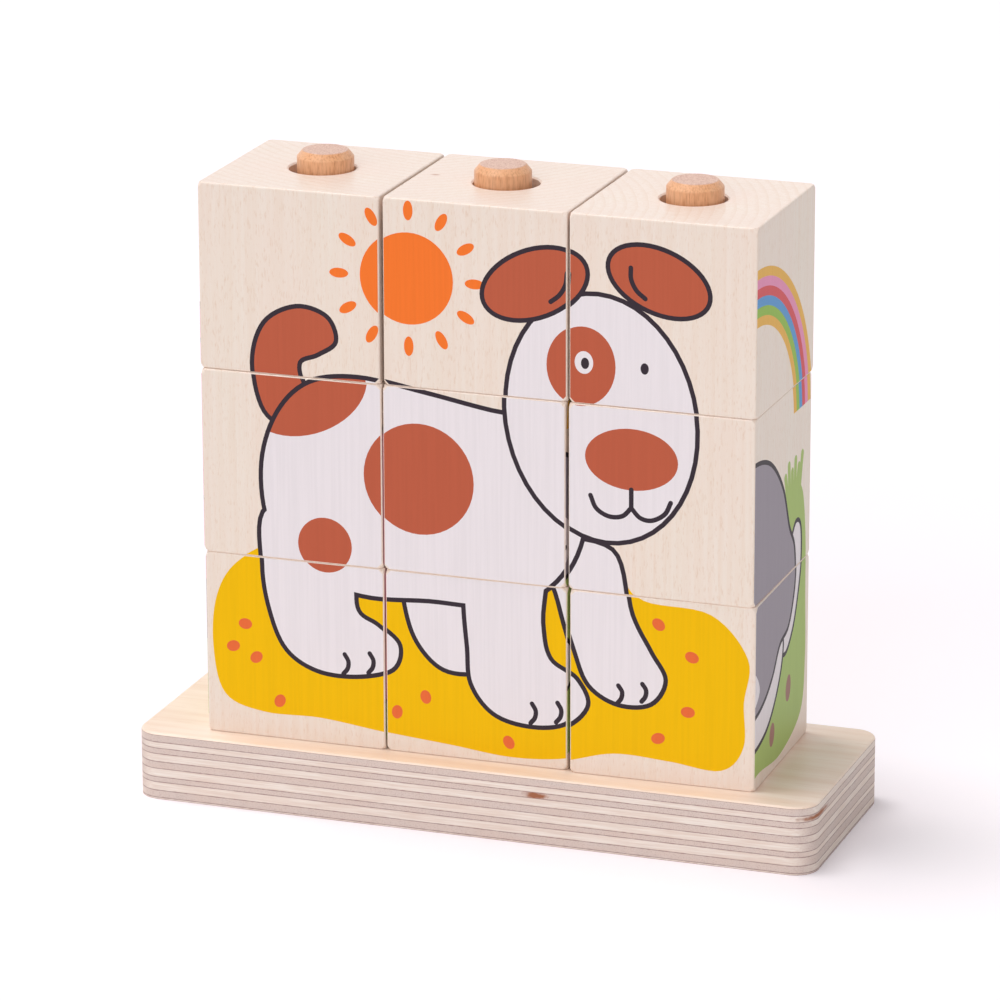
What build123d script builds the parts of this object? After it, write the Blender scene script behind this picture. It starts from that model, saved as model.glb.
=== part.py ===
"""Stacking picture-cube puzzle: nine drilled wooden cubes, three on each of three pegs, on a plywood stand.

Millimetres, +Z up. The origin is the centre of the stand's underside, on the surface that it stands on.
X runs along the row of pegs from left to right, and Y from the front of the puzzle to its back.
The stand is a block of eleven-ply board: two thin face veneers and nine thicker core plies glued crosswise,
each its own solid. The pegs are dowels glued into blind holes in it. The cubes are loose: each one drops over
a peg through its bore, and lifts off again to be turned or changed for another.
"""

from build123d import *
import os

# ---- cubes ----
CUBE = 50.0             # side of each cube
CUBE_ROUND = 0.5        # rounding along every outer edge, as left by tumbling
CORNER_WEAR = 1.4       # how far the tumbling ate into each corner, along its edges
BORE_PLAY = 1.3         # air all round a peg that stands in the middle of a cube's bore
BORE_EASE = 0.4         # chamfer at both rims of the bore
COLUMN_GAP = 0.8        # air between the cubes of neighbouring columns

# ---- pegs ----
PEG_D = 15.0            # dowel diameter
PEG_REACH = 5.0         # how far a peg stands out of its top cube
PEG_TIP_RISE = 1.8      # height of the bevel on a peg's tip
PEG_TIP_INSET = 1.5     # how far that bevel runs in towards the axis
PEG_TIP_ROUND = 0.5     # softening of both edges of the bevel
PEG_FOOT_EASE = 0.8     # chamfer on the foot, which lets it into its hole
GLUE_GAP = 0.05         # glue line between a peg and the wall of its hole
BLIND_FLOOR = 5.5       # board left under a peg's foot

# ---- stand ----
STAND_LENGTH = 188.0
STAND_DEPTH = 64.5
STAND_CORNER = 6.5      # corner radius in plan
STAND_EDGE_ROUND = 0.7  # sanded rounding of the top edge; the underside's edge is left square, as sawn
FACE_PLY = 0.5          # thin face veneer, top and bottom
CORE_PLIES = (2.0, 2.35, 1.45, 2.35, 1.95, 2.2, 1.6, 1.7, 1.95)  # from the bottom core ply to the top one

# ---- layout ----
COLUMNS = ("left", "middle", "right")
ROWS = ("bottom", "middle", "top")
PEG_SET = {"left": 0.95, "middle": -0.75, "right": 0.5}  # each peg's drift along X from its column's middle
# How each cube leans off its peg: (shares of the bore's play along X and along Y, turn in degrees).
CUBE_LEAN = {
    ("top", "left"): (-0.73, 0.07, -0.2),
    ("top", "middle"): (0.67, 0.2, 0.0),
    ("top", "right"): (-0.33, 0.07, -0.35),
    ("middle", "left"): (-0.7, -0.17, 0.5),
    ("middle", "middle"): (0.47, 0.07, -0.15),
    ("middle", "right"): (-0.47, -0.17, 0.0),
    ("bottom", "left"): (-0.5, -0.13, 0.5),
    ("bottom", "middle"): (0.57, 0.27, 0.3),
    ("bottom", "right"): (-0.33, -0.13, 0.8),
}

# ---- worked out from the sizes above ----
STAND_HEIGHT = 2 * FACE_PLY + sum(CORE_PLIES)
PITCH = CUBE + COLUMN_GAP
STACK_TOP = STAND_HEIGHT + len(ROWS) * CUBE
BORE_D = PEG_D + 2 * BORE_PLAY
HALF_CUBE = CUBE / 2
CORNER_REACH = (2 * HALF_CUBE**2 + (HALF_CUBE - CORNER_WEAR) ** 2) ** 0.5  # ball that leaves the worn corners
PEG_TOP = STACK_TOP + PEG_REACH


def peg_x(column):
    """Where a column's peg stands along X: the middle of its column, plus its drift."""
    return (COLUMNS.index(column) - (len(COLUMNS) - 1) / 2) * PITCH + PEG_SET[column]


def cylinder_up(diameter, low, high, x):
    """Upright cylinder from height low to height high, with its axis at (x, 0)."""
    return Pos(x, 0, (low + high) / 2) * Cylinder(diameter / 2, high - low)


def make_stand_block():
    """The stand before it is divided into plies: rounded in plan, with an eased top rim and blind holes."""
    plan = RectangleRounded(STAND_LENGTH, STAND_DEPTH, STAND_CORNER)
    block = extrude(plan, STAND_HEIGHT)
    top_rim = block.edges().group_by(Axis.Z)[-1]
    block = fillet(top_rim, STAND_EDGE_ROUND)
    for column in COLUMNS:
        hole = cylinder_up(PEG_D + 2 * GLUE_GAP, BLIND_FLOOR, STAND_HEIGHT + 1, peg_x(column))
        block -= hole
    return block


def make_plies():
    """The stand's veneers, from the underside up, as {node: solid}."""
    block = make_stand_block()
    thicknesses = (FACE_PLY, *CORE_PLIES, FACE_PLY)
    plies = {}
    low = 0.0
    for number, thickness in enumerate(thicknesses, start=1):
        slab = Pos(0, 0, low + thickness / 2) * Box(STAND_LENGTH + 2, STAND_DEPTH + 2, thickness)
        if number == 1:
            name = "stand_bottom_veneer"
        elif number == len(thicknesses):
            name = "stand_top_veneer"
        else:
            name = f"stand_core_ply_{number - 1}"
        plies[name] = block & slab
        low += thickness
    return plies


def make_peg(column):
    """A dowel with a bevelled, softened tip and a chamfered foot, standing on the floor of its blind hole."""
    peg = cylinder_up(PEG_D, BLIND_FLOOR, PEG_TOP, peg_x(column))
    tip_rim = peg.edges().filter_by(GeomType.CIRCLE).sort_by(Axis.Z)[-1]
    barrel = peg.faces().filter_by(GeomType.CYLINDER)[0]
    peg = chamfer(tip_rim, PEG_TIP_RISE, PEG_TIP_INSET, reference=barrel)
    tip_rims = peg.edges().filter_by(GeomType.CIRCLE).sort_by(Axis.Z)[-2:]
    peg = fillet(tip_rims, PEG_TIP_ROUND)
    foot_rim = peg.edges().filter_by(GeomType.CIRCLE).sort_by(Axis.Z)[0]
    return chamfer(foot_rim, PEG_FOOT_EASE)


def make_cube(row, column):
    """A cube with worn corners, softened edges and an eased bore, leaning the way that it was dropped on."""
    cube = Box(CUBE, CUBE, CUBE) & Sphere(CORNER_REACH)
    cube = fillet(cube.edges(), CUBE_ROUND)
    cube -= Cylinder(BORE_D / 2, CUBE + 2)
    rims = [edge for edge in cube.edges().filter_by(GeomType.CIRCLE) if abs(edge.radius - BORE_D / 2) < 0.01]
    cube = chamfer(rims, BORE_EASE)
    lean_x, lean_y, turn = CUBE_LEAN[(row, column)]
    height = STAND_HEIGHT + (ROWS.index(row) + 0.5) * CUBE
    return Pos(peg_x(column) + lean_x * BORE_PLAY, lean_y * BORE_PLAY, height) * Rot(0, 0, turn) * cube


def main():
    nodes = make_plies()
    for column in COLUMNS:
        nodes[f"peg_{column}"] = make_peg(column)
        for row in ROWS:
            nodes[f"cube_{row}_{column}"] = make_cube(row, column)
    os.makedirs("parts", exist_ok=True)
    for name, solid in nodes.items():
        solid.label = name
        export_step(solid, f"parts/{name}.step")


main()
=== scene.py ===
import math

import bpy
import numpy as np
from mathutils import Matrix, Vector
from mathutils.geometry import delaunay_2d_cdt


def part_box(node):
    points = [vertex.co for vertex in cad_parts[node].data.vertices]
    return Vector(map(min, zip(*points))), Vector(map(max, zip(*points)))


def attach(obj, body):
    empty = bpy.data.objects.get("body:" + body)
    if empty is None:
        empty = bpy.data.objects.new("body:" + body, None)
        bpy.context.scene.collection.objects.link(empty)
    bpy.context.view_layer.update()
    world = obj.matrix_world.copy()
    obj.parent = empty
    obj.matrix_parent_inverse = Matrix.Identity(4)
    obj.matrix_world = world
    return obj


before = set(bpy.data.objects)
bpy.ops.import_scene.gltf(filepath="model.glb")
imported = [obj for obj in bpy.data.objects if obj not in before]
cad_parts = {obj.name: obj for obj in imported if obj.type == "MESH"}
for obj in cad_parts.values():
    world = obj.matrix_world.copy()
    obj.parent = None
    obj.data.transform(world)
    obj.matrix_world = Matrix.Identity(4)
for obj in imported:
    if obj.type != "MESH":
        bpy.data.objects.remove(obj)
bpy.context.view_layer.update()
MM = 0.001


# --------------------------------------------------------------------------------------------------------
# The stand: a block of plywood, sawn out, rounded at its corners and sanded.
# Its face veneers and every second core ply run along the stand, and the plies between them run across it.
# So each edge of the block shows plies along the grain and plies cut across it by turns, and glue lines.
# --------------------------------------------------------------------------------------------------------

VENEER_WARM = "FCE9DA"      # rotary-cut birch veneer, sanded
VENEER_DEEP = "F3D8C4"
VENEER_PORE = "CFA179"
PLY_ALONG = "F6EAE3"        # ply edge that shows long grain: pale and streaky
PLY_ALONG_DEEP = "E7D4CA"
PLY_BLUSH = "E2C3B4"        # wide warm clouds over both kinds
PLY_ACROSS = "DBC9C3"       # ply edge cut across the grain: greyer, with open pores
PLY_ACROSS_DEEP = "C3ABA5"
GLUE = "8C605E"             # phenolic glue, brown with a touch of red
KNOT = "A0603F"
VENEER_ROUGHNESS = 0.42
PLY_ROUGHNESS = 0.62
GLUE_HALF = 0.16            # mm of each ply's edge that the glue darkens
RELIEF = 0.1                # mm, the deepest that any grain goes
KNOTS = {                   # in mm: x, y, half length, half height
    "stand_core_ply_7": ((19.0, -32.0, 3.6, 1.2),),
    "stand_core_ply_8": ((94.0, -25.5, 8.5, 0.8),),
}


def linear(hex_colour):
    """sRGB hex to the linear red, green, blue and alpha that shaders take."""
    parts = [int(hex_colour[i:i + 2], 16) / 255 for i in (0, 2, 4)]
    return (*[c / 12.92 if c <= 0.04045 else ((c + 0.055) / 1.055) ** 2.4 for c in parts], 1.0)


def add(tree, kind, inputs=None, **settings):
    """Adds a shader node. settings are its properties, inputs its sockets: values, or sockets to link."""
    node = tree.nodes.new("ShaderNode" + kind)
    for name, value in settings.items():
        setattr(node, name, value)
    for key, value in (inputs or {}).items():
        if isinstance(value, bpy.types.NodeSocket):
            tree.links.new(value, node.inputs[key])
        else:
            node.inputs[key].default_value = value
    return node


def start_material(name, roughness):
    """A new material, as (material, tree, Principled node, Object coordinates, surface normal)."""
    material = bpy.data.materials.new(name)
    material.use_nodes = True
    tree = material.node_tree
    shader = tree.nodes["Principled BSDF"]
    shader.inputs["Roughness"].default_value = roughness
    where = add(tree, "TexCoord")
    return material, tree, shader, where.outputs["Object"], where.outputs["Normal"]


def grain_noise(tree, where, spacing, detail=2.0, low=0.35, high=0.65):
    """0 to 1 noise whose cells are about spacing = (x, y, z) millimetres across: long along the grain."""
    scaled = add(tree, "Mapping", {"Vector": where, "Scale": [1 / (s * MM) for s in spacing]})
    noise = add(tree, "TexNoise", {"Vector": scaled.outputs[0], "Scale": 1.0, "Detail": detail})
    spread = add(tree, "MapRange", {"Value": noise.outputs["Fac"], "From Min": low, "From Max": high})
    return spread.outputs[0]


def blend_colours(tree, factor, first, second):
    """The colour that is first where factor is 0 and second where it is 1."""
    mix = add(tree, "Mix", {0: factor, 6: first, 7: second}, data_type="RGBA")
    return mix.outputs[2]


def share_of(tree, value, share):
    """The value times a share of one."""
    return add(tree, "Math", {0: value, 1: share}, operation="MULTIPLY").outputs[0]


def lay_on(tree, shader, colour, relief, strength):
    """Gives the shader its colour, and a bump from the relief."""
    tree.links.new(colour, shader.inputs["Base Color"])
    bump = add(tree, "Bump", {"Height": relief, "Strength": strength, "Distance": RELIEF * MM})
    tree.links.new(bump.outputs[0], shader.inputs["Normal"])


def spotted(tree, where, colour, spot_colour, place, half_sizes, ragged):
    """The colour with a soft dark spot: an ellipsoid at place, in mm, whose edge a noise makes ragged."""
    off = add(tree, "VectorMath", {0: where, 1: [c * MM for c in place]}, operation="SUBTRACT")
    shape = add(tree, "VectorMath", {0: off.outputs[0], 1: [1 / (h * MM) for h in half_sizes]},
                operation="MULTIPLY")
    reach = add(tree, "VectorMath", {0: shape.outputs[0]}, operation="LENGTH")
    wobble = add(tree, "Math", {0: ragged, 1: 0.5, 2: reach.outputs["Value"]}, operation="MULTIPLY_ADD")
    depth = add(tree, "MapRange", {"Value": wobble.outputs[0], "From Min": 0.7, "From Max": 1.3,
                                   "To Min": 1, "To Max": 0})
    return blend_colours(tree, depth.outputs[0], colour, linear(spot_colour))


def veneer_material():
    """Birch face veneer under clear lacquer: long pale figure along the stand, with fine darker pores."""
    material, tree, shader, where, _ = start_material("birch_face_veneer", VENEER_ROUGHNESS)
    figure = grain_noise(tree, where, (45, 4.5, 4.5), 4.0, 0.3, 0.7)
    pores = grain_noise(tree, where, (9, 0.45, 0.45), 2.0, 0.6, 0.8)
    colour = blend_colours(tree, figure, linear(VENEER_WARM), linear(VENEER_DEEP))
    colour = blend_colours(tree, share_of(tree, pores, 0.35), colour, linear(VENEER_PORE))
    lay_on(tree, shader, colour, pores, 0.08)
    return material


def ply_material(node, grain_axis):
    """Sanded plywood edge of one core ply, whose grain runs along grain_axis (0 for X, 1 for Y).

    How much of it is cut across the grain is the size of the normal's part along the grain. Glue darkens it
    where its height is near either face of the ply.
    """
    material, tree, shader, where, normal = start_material("plywood_edge_" + node, PLY_ROUGHNESS)
    low, high = (corner.z for corner in map(Vector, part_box(node)))
    along_sizes = (9, 0.5, 0.28) if grain_axis == 0 else (0.5, 9, 0.28)
    streaks = grain_noise(tree, where, along_sizes, 3.0)
    pores = grain_noise(tree, where, (0.35, 0.35, 0.3), 2.0, 0.5, 0.75)
    cloud = grain_noise(tree, where, (12, 12, 2.0), 2.0, 0.3, 0.7)
    along = blend_colours(tree, streaks, linear(PLY_ALONG), linear(PLY_ALONG_DEEP))
    across = blend_colours(tree, pores, linear(PLY_ACROSS), linear(PLY_ACROSS_DEEP))
    parts = add(tree, "SeparateXYZ", {0: normal})
    facing = add(tree, "Math", {0: parts.outputs[grain_axis]}, operation="ABSOLUTE")
    end_grain = add(tree, "MapRange", {"Value": facing.outputs[0], "From Min": 0.35, "From Max": 0.85})
    colour = blend_colours(tree, end_grain.outputs[0], along, across)
    colour = blend_colours(tree, share_of(tree, cloud, 0.25), colour, linear(PLY_BLUSH))
    height = add(tree, "SeparateXYZ", {0: where}).outputs["Z"]
    above = add(tree, "Math", {0: height, 1: low}, operation="SUBTRACT")
    below = add(tree, "Math", {0: high, 1: height}, operation="SUBTRACT")
    nearest = add(tree, "Math", {0: above.outputs[0], 1: below.outputs[0]}, operation="MINIMUM")
    ragged = grain_noise(tree, where, (1.6, 1.6, 1.0), 3.0, 0.2, 0.8)
    reach = add(tree, "MapRange", {"Value": ragged, "To Min": 0.5 * GLUE_HALF * MM,
                                   "To Max": 1.7 * GLUE_HALF * MM})
    glue = add(tree, "MapRange", {"Value": nearest.outputs[0], "From Max": reach.outputs[0],
                                  "To Min": 0.95, "To Max": 0})
    colour = blend_colours(tree, glue.outputs[0], colour, linear(GLUE))
    for x, y, half_length, half_height in KNOTS.get(node, ()):
        place = (x, y, (low + high) / 2 / MM)
        colour = spotted(tree, where, colour, KNOT, place, (half_length, half_length, half_height), ragged)
    lay_on(tree, shader, colour, pores, 0.15)
    return material


def dress(node, material):
    """Puts one material on a CAD node in place of its plain one."""
    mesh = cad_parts[node].data
    mesh.materials.clear()
    mesh.materials.append(material)


veneer = veneer_material()
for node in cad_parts:
    if node == "stand_top_veneer":
        dress(node, veneer)
    elif node == "stand_bottom_veneer":
        dress(node, ply_material(node, 0))
    elif node.startswith("stand_core_ply"):
        dress(node, ply_material(node, 1 if int(node[-1]) % 2 else 0))


# --------------------------------------------------------------------------------------------------------
# The pegs: steamed beech dowel, cut, bevelled at the tip and glued into the stand.
# Steaming turns beech a reddish tan. The dowel is only waxed, so it is a touch duller than the cubes, and
# its cut tip shows the pores.
# --------------------------------------------------------------------------------------------------------

DOWEL = "E9AC7E"
DOWEL_DEEP = "C68354"
DOWEL_BAND = "EFC09B"
DOWEL_TIP = "E2BCAA"
DOWEL_TIP_PORE = "C69480"
DOWEL_ROUGHNESS = 0.36


def dowel_material():
    """Waxed beech: short dark flecks along the dowel, and a pale, speckled tip where the normal points up."""
    material, tree, shader, where, normal = start_material("steamed_beech_dowel", DOWEL_ROUGHNESS)
    flecks = grain_noise(tree, where, (0.45, 0.45, 3.2), 3.0, 0.45, 0.72)
    bands = grain_noise(tree, where, (2.5, 2.5, 40.0), 2.0)
    speckle = grain_noise(tree, where, (0.3, 0.9, 1.0), 3.0, 0.4, 0.7)
    colour = blend_colours(tree, flecks, linear(DOWEL), linear(DOWEL_DEEP))
    colour = blend_colours(tree, share_of(tree, bands, 0.35), colour, linear(DOWEL_BAND))
    cut = blend_colours(tree, speckle, linear(DOWEL_TIP), linear(DOWEL_TIP_PORE))
    up = add(tree, "SeparateXYZ", {0: normal}).outputs["Z"]
    tip = add(tree, "MapRange", {"Value": up, "From Min": 0.75, "From Max": 0.98})
    colour = blend_colours(tree, tip.outputs[0], colour, cut)
    lay_on(tree, shader, colour, flecks, 0.2)
    return material


dowel = dowel_material()
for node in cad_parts:
    if node.startswith("peg_"):
        dress(node, dowel)


# --------------------------------------------------------------------------------------------------------
# The cubes: pale close-grained hardwood, sawn with the grain upright, drilled, tumbled and lacquered.
# Each was cut from another place in the plank, so the rings cross each one its own way. They show as faint
# upright bands on the sides and as arcs on the end grain at the top.
# --------------------------------------------------------------------------------------------------------

COLUMNS = ("left", "middle", "right")
ROWS = ("bottom", "middle", "top")
WOOD = "F1E3D8"
WOOD_WARM = "ECD6C5"
WOOD_BLUSH = "F3DCD2"
WOOD_END = "F5E6DC"
RING = "E2C2A8"
FLECK = "D2A27A"
WOOD_ROUGHNESS = 0.34
FIRST_BEARING = 25.0        # degrees: where the tree's middle lies, seen from the first cube
BEARING_STEP = 67.0         # and how much further round it lies for each next one
RING_SPACING = 2.8          # mm between growth rings
WAVE_LENGTH = 2 * math.pi / 20      # how far apart a wave texture's rings are at scale 1
PITH_AWAY = 90.0            # mm from a cube's middle to the middle of the tree that it was cut from
PIN_KNOT = "C99A84"         # a small brown knot in one cube's top
PIN_KNOT_PLACE = (-20.0, 2.0, 168.5)
PIN_KNOT_HALVES = (1.9, 1.2, 6.0)


def lacquered_wood(name, middle, bearing, knotty):
    """Lacquered hardwood for one cube. bearing is where the tree's middle lies, in degrees, seen from above.

    The rings are a wave of the distance from an upright line: the tree's middle.
    """
    material, tree, shader, where, normal = start_material(name, WOOD_ROUGHNESS)
    pith = Vector((middle.x + PITH_AWAY * MM * math.cos(math.radians(bearing)),
                   middle.y + PITH_AWAY * MM * math.sin(math.radians(bearing)), 0))
    from_pith = add(tree, "VectorMath", {0: where, 1: pith}, operation="SUBTRACT").outputs[0]
    rings = add(tree, "TexWave", {"Vector": from_pith, "Scale": WAVE_LENGTH / (RING_SPACING * MM),
                                  "Distortion": 1.6, "Detail": 2.0, "Detail Scale": 0.6},
                wave_type="RINGS", rings_direction="Z", wave_profile="SAW")
    bands = grain_noise(tree, from_pith, (1.1, 1.1, 38.0), 3.0)
    cloud = grain_noise(tree, from_pith, (16, 16, 60), 2.0, 0.3, 0.7)
    flecks = grain_noise(tree, from_pith, (0.4, 0.4, 1.9), 2.0, 0.56, 0.74)
    up = add(tree, "SeparateXYZ", {0: normal}).outputs["Z"]
    upness = add(tree, "Math", {0: up}, operation="ABSOLUTE")
    end_grain = add(tree, "MapRange", {"Value": upness.outputs[0], "From Min": 0.5, "From Max": 0.9})
    pale = blend_colours(tree, end_grain.outputs[0], linear(WOOD), linear(WOOD_END))
    colour = blend_colours(tree, share_of(tree, bands, 0.45), pale, linear(WOOD_WARM))
    ring_most = add(tree, "MapRange", {"Value": end_grain.outputs[0], "To Min": 0.12, "To Max": 0.3})
    ring_line = add(tree, "MapRange", {"Value": rings.outputs["Fac"], "From Min": 0.55, "From Max": 1.0,
                                       "To Max": ring_most.outputs[0]})
    colour = blend_colours(tree, ring_line.outputs[0], colour, linear(RING))
    colour = blend_colours(tree, share_of(tree, cloud, 0.4), colour, linear(WOOD_BLUSH))
    if knotty:
        colour = spotted(tree, where, colour, PIN_KNOT, PIN_KNOT_PLACE, PIN_KNOT_HALVES, cloud)
    colour = blend_colours(tree, share_of(tree, flecks, 0.27), colour, linear(FLECK))
    lay_on(tree, shader, colour, bands, 0.05)
    return material


def middle_of(node):
    """The middle of a CAD node's box."""
    low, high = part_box(node)
    return (Vector(low) + Vector(high)) / 2


for number, (row, column) in enumerate((row, column) for row in ROWS for column in COLUMNS):
    node = f"cube_{row}_{column}"
    knotty = node == "cube_top_middle"
    dress(node, lacquered_wood("lacquered_" + node, middle_of(node),
                               FIRST_BEARING + BEARING_STEP * number, knotty))


# --------------------------------------------------------------------------------------------------------
# The printed pictures: opaque inks, screen printed on the flat of each side face and lacquered over.
# Each cube carries its own ninth of four pictures, one on each side. A picture is drawn in millimetres from
# its lower left corner as a pile of flat shapes, and each ninth of the pile becomes one thin film of ink.
# --------------------------------------------------------------------------------------------------------

CUBE = round((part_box("cube_top_left")[1][2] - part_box("cube_top_left")[0][2]) / MM, 3)
INK_MARGIN = 0.3            # the ink runs a little way on to the rounding of a cube's edges, and stops here
FLAT_REACH = 34.1           # how far from a face's middle its flat reaches towards a worn corner
FILM_PROUD = 0.02           # how far the ink stands off the wood
FILM_THICK = 0.05
LINE = 1.25                 # width of the dark outlines
CURVE_STEPS = 7             # points of a curve from one of its given points to the next
OVAL_STEPS = 48             # points round an ellipse
INSIDE_ONLY = 1             # asks the triangulation for triangles inside the outlines
SAME_POINT = 1e-5           # points nearer than this become one
FORWARDS = 0.999            # how much of a front face's normal points forwards, at least
WELL_FORWARD = 0.45         # of a cube's width: how far the front face is from the middle, at least
INK_ROUGHNESS = 0.42
INK_SPECULAR = 0.1
INKS = {
    "outline": "3A3039", "white": "EFE6EB", "brick": "C05F45", "orange": "FB7B30", "yellow": "F7BF00",
    "coral": "EC6E3C", "grey": "A096A2", "leaf": "AEC472", "deep_leaf": "86A245", "mauve": "A5766E",
    "ochre": "F0B955", "pink": "EE98C0", "red": "DF565D", "blue": "5F9EDA", "grass": "9AC251",
    "sky": "7FC0E0", "pig_pink": "EE86A6",
}


def ink_material(name, colour):
    """Screen ink under lacquer: flat colour, which the upright grain of the wood below darkens a little."""
    material, tree, shader, where, _ = start_material("screen_ink_" + name, INK_ROUGHNESS)
    shader.inputs["Specular IOR Level"].default_value = INK_SPECULAR
    grain = grain_noise(tree, where, (0.8, 0.8, 30.0), 3.0)
    full = linear(colour)
    shade = tuple(0.9 * c for c in full[:3]) + (1.0,)
    tree.links.new(blend_colours(tree, share_of(tree, grain, 0.4), full, shade), shader.inputs["Base Color"])
    return material


inks = {name: ink_material(name, colour) for name, colour in INKS.items()}
INK_ORDER = list(INKS)


def curve_through(points, closed):
    """A smooth line through points.

    Between two of them it is a cubic whose slope at each is half the way from the point before it to the
    point after it.
    """
    p = np.array(points, float)
    if not closed:
        p = np.vstack([2 * p[0] - p[1], p, 2 * p[-1] - p[-2]])
    before, here, after, beyond = (np.roll(p, -k, axis=0) for k in range(4))
    t = np.linspace(0, 1, CURVE_STEPS, endpoint=False)[:, None, None]
    line = here + 0.5 * ((after - before) * t + (2 * before - 5 * here + 4 * after - beyond) * t**2
                         + (3 * here - before - 3 * after + beyond) * t**3)
    line = line.transpose(1, 0, 2)
    if closed:
        return line.reshape(-1, 2)
    return np.vstack([line[:-3].reshape(-1, 2), p[-2]])


def sideways(line, closed):
    """Unit vectors to the left of a line's direction at each of its points."""
    if closed:
        ahead = np.roll(line, -1, axis=0) - np.roll(line, 1, axis=0)
    else:
        ahead = np.gradient(line, axis=0)
    left = np.stack([-ahead[:, 1], ahead[:, 0]], axis=1)
    return left / np.linalg.norm(left, axis=1, keepdims=True)


def signed_area(loop):
    """Half the sum of the cross products of each point and the next: positive for an anticlockwise loop."""
    ahead = np.roll(loop, -1, axis=0)
    return 0.5 * float(np.sum(loop[:, 0] * ahead[:, 1] - ahead[:, 0] * loop[:, 1]))


def anticlockwise(loop):
    """The loop, running anticlockwise."""
    return loop if signed_area(loop) > 0 else loop[::-1]


def blob(*points):
    """A closed smooth shape through points."""
    return anticlockwise(curve_through(points, True))


def oval(x, y, half_width, half_height, tilt=0.0):
    """An ellipse, turned by tilt degrees."""
    a = np.linspace(0, 2 * np.pi, OVAL_STEPS, endpoint=False)
    c, s = math.cos(math.radians(tilt)), math.sin(math.radians(tilt))
    u, v = half_width * np.cos(a), half_height * np.sin(a)
    return np.stack([x + c * u - s * v, y + s * u + c * v], axis=1)


def stroke(width, *points):
    """A line of that width through points, with round ends."""
    line = curve_through(points, False)
    left = sideways(line, False)
    half = width / 2
    arc = np.linspace(0, np.pi, 9)[1:-1, None]
    far_cap = line[-1] + half * (np.cos(arc) * -left[-1] + np.sin(arc) * np.array([left[-1][1],
                                                                                   -left[-1][0]]))
    near_cap = line[0] + half * (np.cos(arc) * left[0] - np.sin(arc) * np.array([left[0][1], -left[0][0]]))
    return anticlockwise(np.vstack([line - half * left, far_cap, (line + half * left)[::-1], near_cap]))


def grown(loop, by):
    """An anticlockwise loop moved outwards by that distance, or inwards if it is negative."""
    return loop - by * sideways(loop, True)


class Picture:
    """A pile of flat shapes, each (loop, ink, the shapes that it may not leave)."""

    def __init__(self):
        self.shapes = []

    def paint(self, ink, *loops, within=()):
        """Adds shapes of one ink and returns their places in the pile."""
        first = len(self.shapes)
        self.shapes += [(loop, ink, frozenset(within)) for loop in loops]
        return range(first, len(self.shapes))

    def outlined(self, ink, *loops):
        """Adds shapes that share one dark outline, as parts of one body. Returns the fills' places."""
        self.paint("outline", *[grown(loop, LINE / 2) for loop in loops])
        return self.paint(ink, *[grown(loop, -LINE / 2) for loop in loops])


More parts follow.
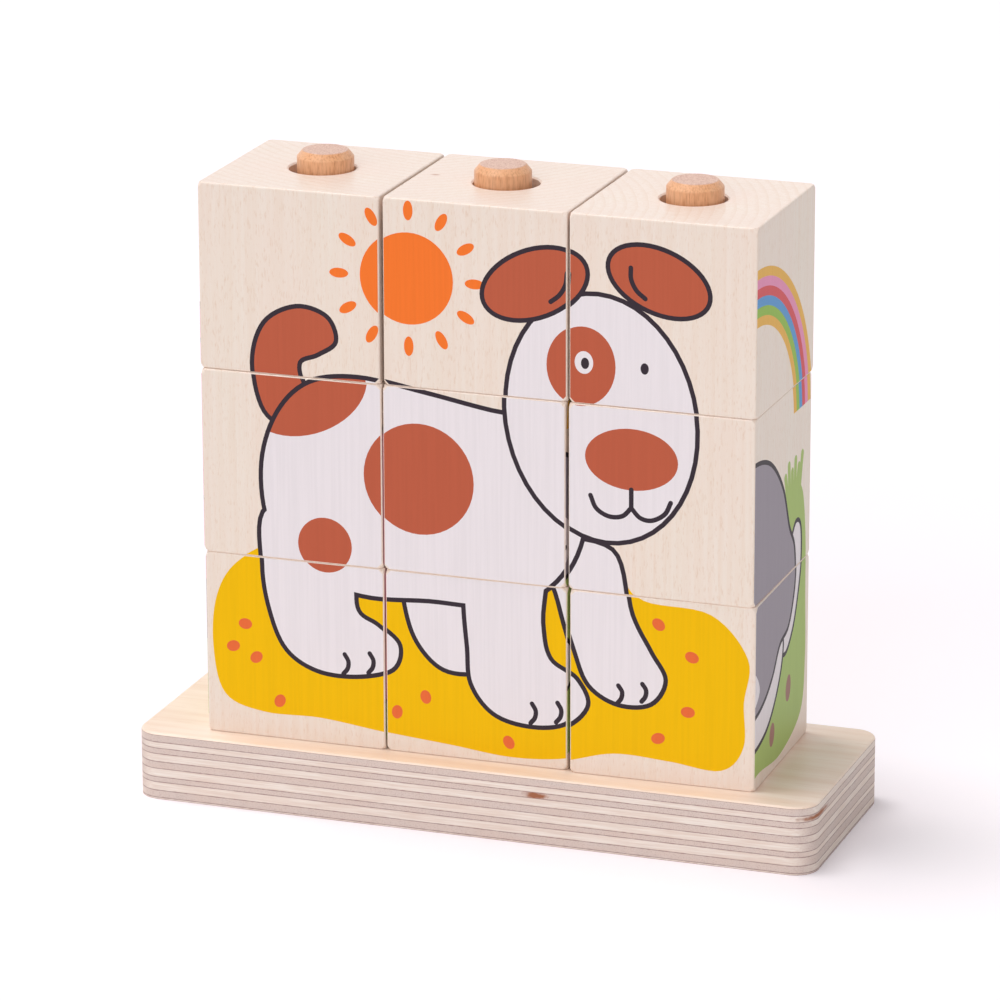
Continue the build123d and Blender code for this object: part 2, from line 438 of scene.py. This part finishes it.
def puppy_in_the_sun():
    """The front: a white puppy with brick-red patches stands on yellow sand under an orange sun."""
    p = Picture()
    p.paint("yellow", blob((9, 48), (3, 38), (1.8, 24), (5, 11), (16, 7), (32, 7), (50, 5), (68, 3.5),
                           (84, 2), (98, 3), (112, 6.5), (127, 6), (141, 5), (147, 12), (147, 24),
                           (148, 36), (138, 47), (120, 49), (112, 56), (96, 56), (70, 52), (40, 55),
                           (22, 55)))
    dots = ((11, 31), (7.5, 24.5), (14, 22), (20.5, 10.5), (53, 11), (61, 16), (84, 6), (124, 43), (133, 35),
            (132, 20), (124, 12))
    p.paint("coral", *[oval(x, y, 1.9, 1.5, 20 * k) for k, (x, y) in enumerate(dots)])
    sun_x, sun_y = 57, 129
    p.paint("orange", oval(sun_x, sun_y, 12.2, 12.2))
    for turn in np.arange(12) * np.pi / 6:
        x, y = sun_x + 18 * math.cos(turn), sun_y + 18 * math.sin(turn)
        p.paint("orange", oval(x, y, 2.6, 1.3, math.degrees(turn)))
    far_hind_leg = blob((54, 56), (55, 42), (58.5, 31), (66, 24), (76, 24.5), (80, 31.5), (75, 38), (72, 56))
    far_fore_leg = blob((94, 62), (97.5, 46), (101, 34), (105, 24.5), (113, 20), (122, 21), (126, 28),
                        (122, 35.5), (117, 45), (112, 62))
    far_legs = p.outlined("white", far_hind_leg, far_fore_leg)
    p.outlined("brick", blob((17.5, 90), (14.5, 103), (18, 114), (27, 119), (35.5, 117), (38, 110.5),
                             (33, 106.5), (28, 104), (29, 98), (34, 91), (26, 86)))
    trunk = blob((30, 99), (44, 101.5), (62, 99), (80, 96), (98, 94), (104, 82), (104, 64), (96, 50),
                 (80, 43), (62, 42.5), (44, 42), (26, 47), (18, 60), (16.5, 76), (21, 90))
    hind_leg = blob((18, 64), (16, 48), (18, 35), (22.5, 25), (31, 20), (42, 19.5), (52, 22.5),
                    (54, 29.5), (48.5, 34.5), (43, 38), (42, 47), (39, 64))
    fore_leg = blob((72, 60), (71.5, 44), (72.5, 31), (73.5, 21), (79.5, 13.5), (89, 11), (99, 12.5),
                    (105, 19), (102, 26), (95.5, 30.5), (93.5, 40), (93, 60))
    body = p.outlined("white", trunk, hind_leg, fore_leg)
    p.paint("brick", oval(29, 97, 18, 12, 24), oval(60, 75.5, 15, 15), oval(34, 55, 7.5, 7.5), within=body)
    for x, y in ((38.5, 20), (45.5, 21), (90, 12), (97, 13)):
        p.paint("outline", stroke(LINE, (x, y), (x + 1.2, y + 1.6), (x + 1.4, y + 3.6),
                                  (x + 0.4, y + 5.4)), within=body)
    for x, y in ((113, 20.5), (119.5, 21.6)):
        p.paint("outline", stroke(LINE, (x, y), (x + 1, y + 1.4), (x + 1.2, y + 3.2), (x + 0.2, y + 4.8)),
                within=far_legs)
    head = p.outlined("white", oval(109, 96.5, 25.5, 33, 8))
    p.paint("brick", oval(103.5, 110, 9, 10.5, -6), oval(117, 86.5, 12.5, 8.2), within=head)
    p.outlined("brick", oval(91, 130.5, 14.8, 8.8, 24), oval(124, 134, 14.2, 8.4, -20))
    p.paint("outline", stroke(LINE, (100, 134), (99.6, 131), (98, 128.2), (95.6, 126.2)),
            stroke(LINE, (116.5, 137), (116.6, 134), (118, 131.2), (120.4, 129.2)))
    p.paint("white", oval(104, 111, 2.5, 3.0))
    p.paint("outline", oval(104.3, 110.8, 1.1, 1.5), oval(120.3, 110.8, 1.1, 1.5))
    p.paint("outline", stroke(LINE, (117, 78.5), (117, 73.5)))
    p.paint("outline", stroke(LINE, (106, 76), (107.6, 72.6), (111, 70.8), (114.6, 71.2), (117, 73.6)))
    p.paint("outline", stroke(LINE, (117, 73.6), (119.4, 71.2), (122.6, 70.8), (126, 72.8), (127.6, 76)))
    return p


def kitten_and_rainbow():
    """The right side: a grey kitten lies in the grass under a rainbow."""
    p = Picture()
    bands = ("ochre", "pink", "red", "blue", "grass", "ochre")
    width = 2.5
    for k, ink in enumerate(bands):
        outer = 49 - width * k
        edges = []
        for radius in (outer, outer - width):
            foot = math.asin(width / radius)
            a = np.linspace(foot, np.pi - foot, 60)
            edges.append(np.stack([100 + radius * np.cos(a), 90 + radius * np.sin(a)], axis=1))
        p.paint(ink, anticlockwise(np.vstack([edges[0], edges[1][::-1]])))
    p.paint("leaf", blob((4, 40), (2, 20), (8, 5), (30, 3), (60, 5), (90, 2.5), (104, 4), (124, 2.5),
                         (143, 8), (147, 22), (146.5, 40), (146, 56), (143, 69), (137, 73), (130, 71),
                         (123, 68), (110, 60), (70, 55), (30, 52)))
    for k in range(6):
        x, y = 129 + 2.1 * k, 69
        p.paint("leaf", stroke(2.4, (x, y), (x + 0.4 * (k - 2), y + 5),
                               (x + 0.9 * (k - 2), y + 8 + 2.5 * (k % 2))))
    for x, y in ((10, 50), (24, 55), (40, 56)):
        p.paint("leaf", blob((x - 4, y - 4), (x - 3, y + 6), (x - 1, y - 1), (x, y + 9), (x + 1.5, y),
                             (x + 4, y + 5), (x + 4, y - 4)))
    p.paint("mauve", oval(131, 18.5, 2.3, 3.6, -12), oval(116, 10.5, 2.3, 3.2, -12), oval(20, 18, 2.6, 3.4),
            oval(40, 10, 2.6, 3.2), oval(8, 32, 2.2, 3))
    p.outlined("white", blob((126, 62), (131, 58), (137, 62.5), (141.5, 60), (142, 50), (138.5, 40),
                             (134, 33), (127, 29), (118, 34), (118, 52)))
    p.outlined("white", blob((96, 24), (108, 27), (118, 36), (125.5, 34), (124, 26), (117, 17.5),
                             (108, 12.5), (96, 12)))
    body = p.outlined("grey", blob((60, 60), (70, 76), (86, 86), (100, 88), (114, 84.5), (125, 75),
                                   (131, 63), (136, 56), (136.5, 46), (131, 36), (122.5, 33), (116, 26.5),
                                   (108, 22), (98, 20), (80, 20), (66, 28), (58, 42)))
    p.paint("white", blob((70, 22), (90, 20), (104, 26), (96, 34), (80, 32)), within=body)
    p.outlined("grey", blob((22, 92), (20, 76), (24, 62), (36, 54), (52, 53), (64, 60), (69, 74),
                            (67, 92), (58, 84), (44, 88), (31, 85)))
    p.paint("white", oval(44, 63, 11, 7.5))
    p.paint("outline", oval(35, 74, 1.6, 2.4), oval(54, 74, 1.6, 2.4), oval(44.5, 67.5, 2.4, 1.6),
            stroke(LINE, (44.5, 66), (44.5, 62.5)), stroke(LINE, (38.5, 61), (41.5, 60.2), (44.5, 62.5)),
            stroke(LINE, (44.5, 62.5), (47.5, 60.2), (50.5, 61)), stroke(0.8, (30, 65), (18, 67)),
            stroke(0.8, (30, 62), (18, 60)), stroke(0.8, (59, 65), (71, 67)), stroke(0.8, (59, 62), (71, 60)))
    p.outlined("white", blob((50, 32), (54, 24), (64, 20), (76, 21), (80, 27), (74, 33), (62, 35)),
               blob((30, 34), (32, 26), (41, 22), (52, 23), (56, 29), (50, 36), (40, 38)))
    return p


def duckling_on_the_pond():
    """The back: a yellow duckling swims on a pond between reeds."""
    p = Picture()
    p.paint("sky", blob((6, 44), (2, 28), (8, 12), (30, 5), (60, 7), (92, 4), (124, 7), (144, 14),
                        (148, 32), (142, 47), (120, 51), (90, 48), (60, 52), (30, 50)))
    for x, y in ((22, 24), (52, 15), (96, 17), (124, 27)):
        p.paint("white", stroke(1.6, (x - 9, y), (x - 4, y + 2.4), (x, y), (x + 4, y - 2.4), (x + 9, y)))
    for x, lean, tall in ((124, 3, 62), (132, 6, 74), (139, 8, 56), (14, -4, 66), (8, -5, 52)):
        p.paint("deep_leaf", stroke(2.0, (x, 34), (x + lean / 2, tall), (x + lean, tall + 28)))
        p.paint("mauve", stroke(5.0, (x + lean * 0.9, tall + 18), (x + lean, tall + 30)))
    p.outlined("yellow", blob((34, 40), (28, 52), (26, 64), (34, 62), (46, 58), (60, 62), (76, 62),
                              (90, 66), (104, 60), (108, 46), (98, 34), (78, 29), (54, 30)))
    p.outlined("yellow", oval(92, 88, 22, 21, 10))
    p.paint("yellow", blob((76, 56), (78, 72), (92, 74), (104, 70), (104, 54), (90, 50)))
    p.outlined("orange", blob((110, 90), (118, 91), (127, 87), (124, 82), (116, 79), (109, 82)))
    p.paint("outline", oval(98, 95, 1.8, 2.6), stroke(LINE, (44, 48), (54, 40), (68, 40), (76, 48), (78, 54)),
            stroke(LINE, (111, 85.5), (118, 86), (123, 84.6)))
    p.paint("coral", oval(104, 84, 3, 2.2))
    p.paint("white", oval(40, 128, 11, 7), oval(52, 132, 12, 9), oval(63, 127, 10, 6.5))
    return p


def piglet_in_the_meadow():
    """The left side: a pink piglet stands in a meadow by a tree."""
    p = Picture()
    p.paint("leaf", blob((5, 40), (2, 22), (8, 8), (34, 3.5), (66, 6), (98, 3), (128, 6), (146, 16),
                         (147, 32), (138, 44), (110, 48), (74, 44), (40, 48)))
    p.paint("mauve", stroke(9.0, (128, 40), (127, 62), (129, 90)))
    p.paint("grass", oval(128, 112, 19, 24, 4), oval(116, 100, 14, 15), oval(138, 98, 9, 14))
    p.paint("red", oval(120, 118, 2.6, 2.6), oval(134, 108, 2.6, 2.6), oval(125, 98, 2.6, 2.6))
    p.outlined("pig_pink", stroke(12, (44, 50), (43, 24)), stroke(12, (84, 48), (85, 24)))
    p.paint("outline", stroke(LINE * 3.2, (106, 78), (112, 82), (114, 76), (109, 74), (110, 82)))
    p.paint("pig_pink", stroke(LINE * 1.4, (104, 76), (112, 82), (114, 76), (109, 74), (110, 82)))
    p.outlined("pig_pink", oval(68, 68, 42, 29, 2), stroke(12, (56, 46), (57, 19)),
               stroke(12, (96, 46), (98, 19)))
    p.outlined("pig_pink", blob((14, 112), (20, 104), (31, 108), (26, 118)),
               blob((62, 112), (58, 103), (47, 107), (51, 118)))
    p.outlined("pig_pink", oval(38, 86, 26, 24))
    p.outlined("pink", oval(36, 79, 10.5, 8))
    p.paint("outline", oval(32.5, 79, 1.4, 2.2), oval(39.5, 79, 1.4, 2.2), oval(27, 93, 1.6, 2.3),
            oval(48, 93, 1.6, 2.3), stroke(LINE, (28, 69), (36, 65.6), (44, 69)))
    for x, y in ((16, 20), (72, 14), (116, 22), (134, 24)):
        p.paint("white", *[oval(x + 2.6 * math.cos(a), y + 2.6 * math.sin(a), 1.7,
                                1.7) for a in np.arange(5) * 2 * np.pi / 5])
        p.paint("yellow", oval(x, y, 1.5, 1.5))
    return p


def face_outline():
    """The flat of a side face: a square inside the rounded edges, cut by a circle at its worn corners."""
    side = CUBE / 2 - INK_MARGIN
    cut = math.sqrt(FLAT_REACH**2 - side**2)
    corner = [math.atan2(cut, side), math.atan2(side, cut)]
    angles = np.concatenate([np.linspace(*corner, 4) + quarter * np.pi / 2 for quarter in range(4)])
    return FLAT_REACH * np.stack([np.cos(angles), np.sin(angles)], axis=1)


def cut_ninth(picture, column, row):
    """One ninth of a picture, cut to the flat of a face, as (points from its middle, triangles, their inks).

    All outlines are split where they cross and the plane between them is filled with triangles. Each triangle
    takes the ink of the last shape in the pile that covers it. Triangles that no shape covers stay bare wood.
    """
    middle = np.array([(column + 0.5) * CUBE, (row + 0.5) * CUBE])
    half = CUBE / 2
    loops, owners = [face_outline()], [None]
    for place, (loop, _, _) in enumerate(picture.shapes):
        local = loop - middle
        if (local.min(axis=0) < half).all() and (local.max(axis=0) > -half).all():
            loops.append(local)
            owners.append(place)
    starts = np.cumsum([0] + [len(loop) for loop in loops])
    rings = [list(range(a, b)) for a, b in zip(starts[:-1], starts[1:])]
    flat = [Vector(point) for point in np.vstack(loops)]
    points, _, faces, _, _, sources = delaunay_2d_cdt(flat, [], rings, INSIDE_ONLY, SAME_POINT, True)
    triangles, chosen = [], []
    for face, source in zip(faces, sources):
        if 0 not in source:
            continue
        over = {owners[k] for k in source if k}
        seen = [k for k in over if not picture.shapes[k][2] or picture.shapes[k][2] & over]
        if seen:
            triangles.append(list(face))
            chosen.append(picture.shapes[max(seen)][1])
    used = sorted({k for face in triangles for k in face})
    renumber = {old: new for new, old in enumerate(used)}
    kept = np.array([points[k] for k in used], float).reshape(-1, 2)
    return kept, [[renumber[k] for k in face] for face in triangles], chosen


def turn_of(node):
    """How far a cube is turned about its upright, in radians: the bearing of its front face's mean normal.

    The bore has facets that look forwards too, so only faces well in front of the cube's middle count.
    """
    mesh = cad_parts[node].data
    count = len(mesh.polygons)
    normals, centres, areas = np.empty(count * 3), np.empty(count * 3), np.empty(count)
    mesh.polygons.foreach_get("normal", normals)
    mesh.polygons.foreach_get("center", centres)
    mesh.polygons.foreach_get("area", areas)
    normals, centres = normals.reshape(-1, 3), centres.reshape(-1, 3)
    front = (normals[:, 1] < -FORWARDS) & (centres[:, 1] < middle_of(node).y - WELL_FORWARD * CUBE * MM)
    mean = (normals[front] * areas[front, None]).sum(axis=0)
    return math.atan2(mean[0], -mean[1])


SIDES = {  # each side's picture, and how far round the cube it lies from the front, in quarter turns
    "front": (puppy_in_the_sun(), 0),
    "right": (kitten_and_rainbow(), 1),
    "back": (duckling_on_the_pond(), 2),
    "left": (piglet_in_the_meadow(), 3),
}


def print_film(side, column, row):
    """The ink film on one side of one cube: a ninth of that side's picture, set upright just off the wood.

    A face whose ninth has no ink in it stays bare.
    """
    picture, quarters = SIDES[side]
    place = f"{ROWS[row]}_{COLUMNS[column]}"
    points, triangles, chosen = cut_ninth(picture, column, row)
    if not triangles:
        return
    across, up = points[:, 0], points[:, 1]
    out = np.full(len(points), -(CUBE / 2 + FILM_PROUD))
    local = np.stack([across, out, up], axis=1) * MM
    node = "cube_" + place
    turn = Matrix.Rotation(turn_of(node) + quarters * math.pi / 2, 3, "Z")
    placed = local @ np.array(turn).T + np.array(middle_of(node))
    mesh = bpy.data.meshes.new(f"print_{side}_{place}")
    mesh.from_pydata(placed.tolist(), [], triangles)
    names = sorted(set(chosen), key=INK_ORDER.index)
    for name in names:
        mesh.materials.append(inks[name])
    mesh.polygons.foreach_set("material_index", [names.index(name) for name in chosen])
    film = bpy.data.objects.new(mesh.name, mesh)
    bpy.context.collection.objects.link(film)
    solid = film.modifiers.new("film", "SOLIDIFY")
    solid.thickness = FILM_THICK * MM
    solid.offset = -1
    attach(film, node)


for side in SIDES:
    for column in range(3):
        for row in range(3):
            print_film(side, column, row)


# --------------------------------------------------------------------------------------------------------
# The table and its light: a white table top in a white room, three wide soft lights, and the camera.
# The room lights everything evenly. The key light, high at the left, drops the soft shadow at the right,
# and the two fill lights set how bright the front and the right side are against the top.
# --------------------------------------------------------------------------------------------------------

TABLE_SIZE = 30.0           # m
TABLE_ROUGHNESS = 0.7
TABLE_LIT = "F2F2F2"        # the white that throws light back on the toy
TABLE_SEEN = "FCF6FC"       # the white that the camera sees
TABLE_LIFT = 0.09           # what the white of the table top gains where the camera sees it
ROOM_LIGHT = 0.42           # strength of the room's white as light
ROOM_SEEN = 1.0             # and where it is seen, straight or in a reflection
LIGHTS = {                  # where each comes from, the angle that it fills in degrees, strength, colour
    "key_light": ((-0.32, 0.0, 1.0), 28, 0.52, "FFFCF9"),
    "front_fill": ((-0.2, -1.0, 0.4), 50, 0.27, "FFFFFF"),
    "side_fill": ((0.9, -0.5, 0.5), 50, 0.04, "F6F8FF"),
}
CAMERA_AIM = (7.0, -25.0, 90.7)     # mm, on the plane of the front faces
CAMERA_AWAY = 1481.0        # mm
CAMERA_TURN = 19.5          # degrees, to the right of straight on
CAMERA_RISE = 17.1          # degrees
CAMERA_ROLL = -0.17         # degrees
CAMERA_LENS = 206.7         # mm
CAMERA_SENSOR = 36.0        # mm
CAMERA_SEES = (0.05, 50.0)  # m, the nearest and the furthest

ground = bpy.data.meshes.new("table_top")
edge = TABLE_SIZE / 2
corners = [(-edge, -edge, 0), (edge, -edge, 0), (edge, edge, 0), (-edge, edge, 0)]
ground.from_pydata(corners, [], [(0, 1, 2, 3)])
table = bpy.data.objects.new("table_top", ground)
bpy.context.collection.objects.link(table)
white, tree, shader, _, _ = start_material("white_laminate", TABLE_ROUGHNESS)
seen = add(tree, "LightPath").outputs["Is Camera Ray"]
tree.links.new(blend_colours(tree, seen, linear(TABLE_LIT), linear(TABLE_SEEN)), shader.inputs["Base Color"])
tree.links.new(share_of(tree, seen, TABLE_LIFT), shader.inputs["Emission Strength"])
shader.inputs["Emission Color"].default_value = (1, 1, 1, 1)
shader.inputs["Specular IOR Level"].default_value = 0.0
ground.materials.append(white)

world = bpy.data.worlds.new("white_room")
world.use_nodes = True
bpy.context.scene.world = world
tree = world.node_tree
background = tree.nodes["Background"]
rays = add(tree, "LightPath")
seen = add(tree, "Math", {0: rays.outputs["Is Camera Ray"], 1: rays.outputs["Is Transmission Ray"]},
           operation="MAXIMUM")
seen = add(tree, "Math", {0: seen.outputs[0], 1: rays.outputs["Is Glossy Ray"]}, operation="MAXIMUM")
strength = add(tree, "MapRange", {"Value": seen.outputs[0], "To Min": ROOM_LIGHT, "To Max": ROOM_SEEN})
tree.links.new(strength.outputs[0], background.inputs["Strength"])
background.inputs["Color"].default_value = (1, 1, 1, 1)


def soft_light(name, towards, spread, strength, colour):
    """Even light from a wide patch of sky. spread is the angle that the patch fills, in degrees."""
    lamp = bpy.data.lights.new(name, "SUN")
    lamp.angle = math.radians(spread)
    lamp.energy = strength * math.pi
    lamp.color = linear(colour)[:3]
    source = bpy.data.objects.new(name, lamp)
    source.rotation_euler = Vector(towards).to_track_quat("Z", "Y").to_euler()
    bpy.context.collection.objects.link(source)


for name, settings in LIGHTS.items():
    soft_light(name, *settings)

lens = bpy.data.cameras.new("camera")
lens.lens = CAMERA_LENS
lens.sensor_width = CAMERA_SENSOR
lens.clip_start, lens.clip_end = CAMERA_SEES
camera = bpy.data.objects.new("camera", lens)
turn, rise = math.radians(CAMERA_TURN), math.radians(CAMERA_RISE)
towards_camera = Vector((math.sin(turn) * math.cos(rise), -math.cos(turn) * math.cos(rise), math.sin(rise)))
camera.location = (Vector(CAMERA_AIM) + CAMERA_AWAY * towards_camera) * MM
roll = Matrix.Rotation(math.radians(CAMERA_ROLL), 3, "Z")
facing = towards_camera.to_track_quat("Z", "Y").to_matrix() @ roll
camera.rotation_euler = facing.to_euler()
bpy.context.collection.objects.link(camera)
bpy.context.scene.camera = camera
bpy.context.scene.view_settings.view_transform = "Standard"
